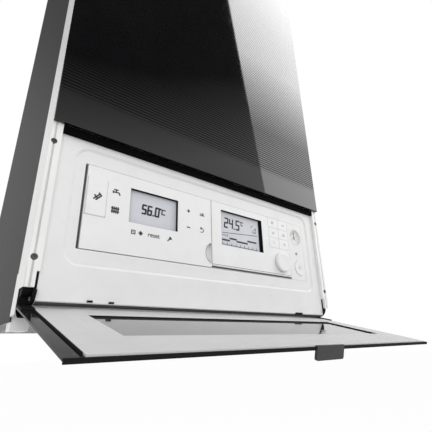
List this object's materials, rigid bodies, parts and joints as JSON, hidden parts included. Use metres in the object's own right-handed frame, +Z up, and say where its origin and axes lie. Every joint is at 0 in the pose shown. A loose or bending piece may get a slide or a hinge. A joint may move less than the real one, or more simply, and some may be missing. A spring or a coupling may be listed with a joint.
{
  "type": "wall-mounted condensing boiler",
  "caption": "Wall-hung condensing gas boiler with a black glass front, dark sides and a fold-down flap over a white control panel with displays, keys, selector knob and gauge.",
  "frame": {"origin": "on the wall, midway between the two fixing holes of the hanging bracket", "axes": "+Z up, +Y into the wall, +X to the right of a person facing the boiler"},
  "size_m": [0.44, 0.4818, 0.8187],
  "materials": {
    "steel": "galvanised",
    "side_paint": "satin dark grey",
    "front_glass": "black printed glass",
    "rail_metal": "satin white",
    "seal_rubber": "matte black",
    "fascia_plastic": "fine texture white",
    "controller_plastic": "smooth white",
    "display": "pale display",
    "knob_plastic": "satin white",
    "spindle_steel": "turned",
    "gauge_black": "black",
    "clear_lens": "clear",
    "lamp": "green",
    "dark_plastic": "moulded",
    "board": "circuit board",
    "flap_frame": "pale grey",
    "flap_mirror": "grey mirror",
    "flap_tab": "dark grey",
    "hinge_black": "black",
    "bracket_black": "black",
    "cast_aluminium": "sand cast",
    "impeller_plastic": "moulded",
    "copper": "drawn copper",
    "flue_plastic": "white",
    "vessel_paint": "red",
    "pump_iron": "coated",
    "stainless": "brazed"
  },
  "bodies": {
    "casing": {"back_plate": "steel", "base_controller": "controller_plastic", "base_display": "display", "bottom_panel": "rail_metal", "burner_hood": "cast_aluminium", "condensate_sump": "dark_plastic", "control_box": "dark_plastic", "control_fascia": "fascia_plastic", "expansion_vessel": "vessel_paint", "fan_housing": "dark_plastic", "fan_motor": "cast_aluminium", "flow_pipe": "copper", "flue_adapter": "flue_plastic", "flue_pipe": "flue_plastic", "front_glass": "front_glass", "front_tray": "steel", "gap_seal": "seal_rubber", "gas_pipe": "copper", "gas_valve": "cast_aluminium", "gauge_case": "gauge_black", "gauge_lens": "clear_lens", "heat_exchanger": "cast_aluminium", "hinge_pins": "steel", "hydraulic_block": "dark_plastic", "left_hinge_bracket": "bracket_black", "left_rail": "rail_metal", "left_side_panel": "side_paint", "main_board": "board", "plate_exchanger": "stainless", "pump_housing": "pump_iron", "rail_screws": "steel", "return_pipe": "copper", "right_hinge_bracket": "bracket_black", "right_rail": "rail_metal", "right_side_panel": "side_paint", "room_controller": "controller_plastic", "room_display": "display", "service_shelf": "steel", "status_lamp": "lamp", "top_panel": "side_paint", "wall_bracket": "steel"},
    "flap": {"flap_glass": "front_glass", "flap_frame": "flap_frame", "flap_mirror": "flap_mirror", "flap_pull_tab": "flap_tab", "left_hinge_arm": "hinge_black", "right_hinge_arm": "hinge_black"},
    "top_left_key": {"top_left_key": "controller_plastic"},
    "middle_left_key": {"middle_left_key": "controller_plastic"},
    "bottom_left_key": {"bottom_left_key": "controller_plastic"},
    "top_right_key": {"top_right_key": "controller_plastic"},
    "middle_right_key": {"middle_right_key": "controller_plastic"},
    "bottom_right_key": {"bottom_right_key": "controller_plastic"},
    "service_key": {"service_key": "controller_plastic"},
    "selector_spindle": {"selector_spindle": "spindle_steel"},
    "selector_knob": {"selector_knob": "knob_plastic"},
    "gauge_needle": {"gauge_needle": "gauge_black"},
    "power_switch": {"power_switch": "knob_plastic"},
    "fan_impeller": {"fan_impeller": "impeller_plastic"},
    "pump_rotor": {"pump_rotor": "impeller_plastic"}
  },
  "joints": [
    {"name": "flap_hinge", "type": "hinge", "parent": "casing", "child": "flap", "pos_m": [0, -0.3325, -0.6493], "axis": [-1, 0, 0], "range_deg": [0, 104.2]},
    {"name": "top_left_key_press", "type": "slide", "parent": "casing", "child": "top_left_key", "axis": [0, 1, 0], "range_m": [0, 0.0008], "stiffness_N_per_m": 800},
    {"name": "middle_left_key_press", "type": "slide", "parent": "casing", "child": "middle_left_key", "axis": [0, 1, 0], "range_m": [0, 0.0008], "stiffness_N_per_m": 800},
    {"name": "bottom_left_key_press", "type": "slide", "parent": "casing", "child": "bottom_left_key", "axis": [0, 1, 0], "range_m": [0, 0.0008], "stiffness_N_per_m": 800},
    {"name": "top_right_key_press", "type": "slide", "parent": "casing", "child": "top_right_key", "axis": [0, 1, 0], "range_m": [0, 0.0008], "stiffness_N_per_m": 800},
    {"name": "middle_right_key_press", "type": "slide", "parent": "casing", "child": "middle_right_key", "axis": [0, 1, 0], "range_m": [0, 0.0008], "stiffness_N_per_m": 800},
    {"name": "bottom_right_key_press", "type": "slide", "parent": "casing", "child": "bottom_right_key", "axis": [0, 1, 0], "range_m": [0, 0.0008], "stiffness_N_per_m": 800},
    {"name": "service_key_press", "type": "slide", "parent": "casing", "child": "service_key", "axis": [0, 1, 0], "range_m": [0, 0.0008], "stiffness_N_per_m": 800},
    {"name": "selector_press", "type": "slide", "parent": "casing", "child": "selector_spindle", "axis": [0, 1, 0], "range_m": [0, 0.0008], "stiffness_N_per_m": 800},
    {"name": "selector_turn", "type": "hinge", "parent": "selector_spindle", "child": "selector_knob", "pos_m": [0.1228, -0.34, -0.5852], "axis": [0, 1, 0], "continuous": true},
    {"name": "gauge_needle_swing", "type": "hinge", "parent": "casing", "child": "gauge_needle", "pos_m": [0.1623, -0.335, -0.5386], "axis": [0, 1, 0], "range_deg": [-120, 120]},
    {"name": "power_switch_press", "type": "slide", "parent": "casing", "child": "power_switch", "axis": [0, 1, 0], "range_m": [0, 0.0012], "stiffness_N_per_m": 800},
    {"name": "fan_spin", "type": "hinge", "parent": "casing", "child": "fan_impeller", "pos_m": [-0.04, -0.195, -0.0458], "axis": [0, 1, 0], "continuous": true},
    {"name": "pump_spin", "type": "hinge", "parent": "casing", "child": "pump_rotor", "pos_m": [0.055, -0.105, -0.5558], "axis": [0, 1, 0], "continuous": true}
  ]
}
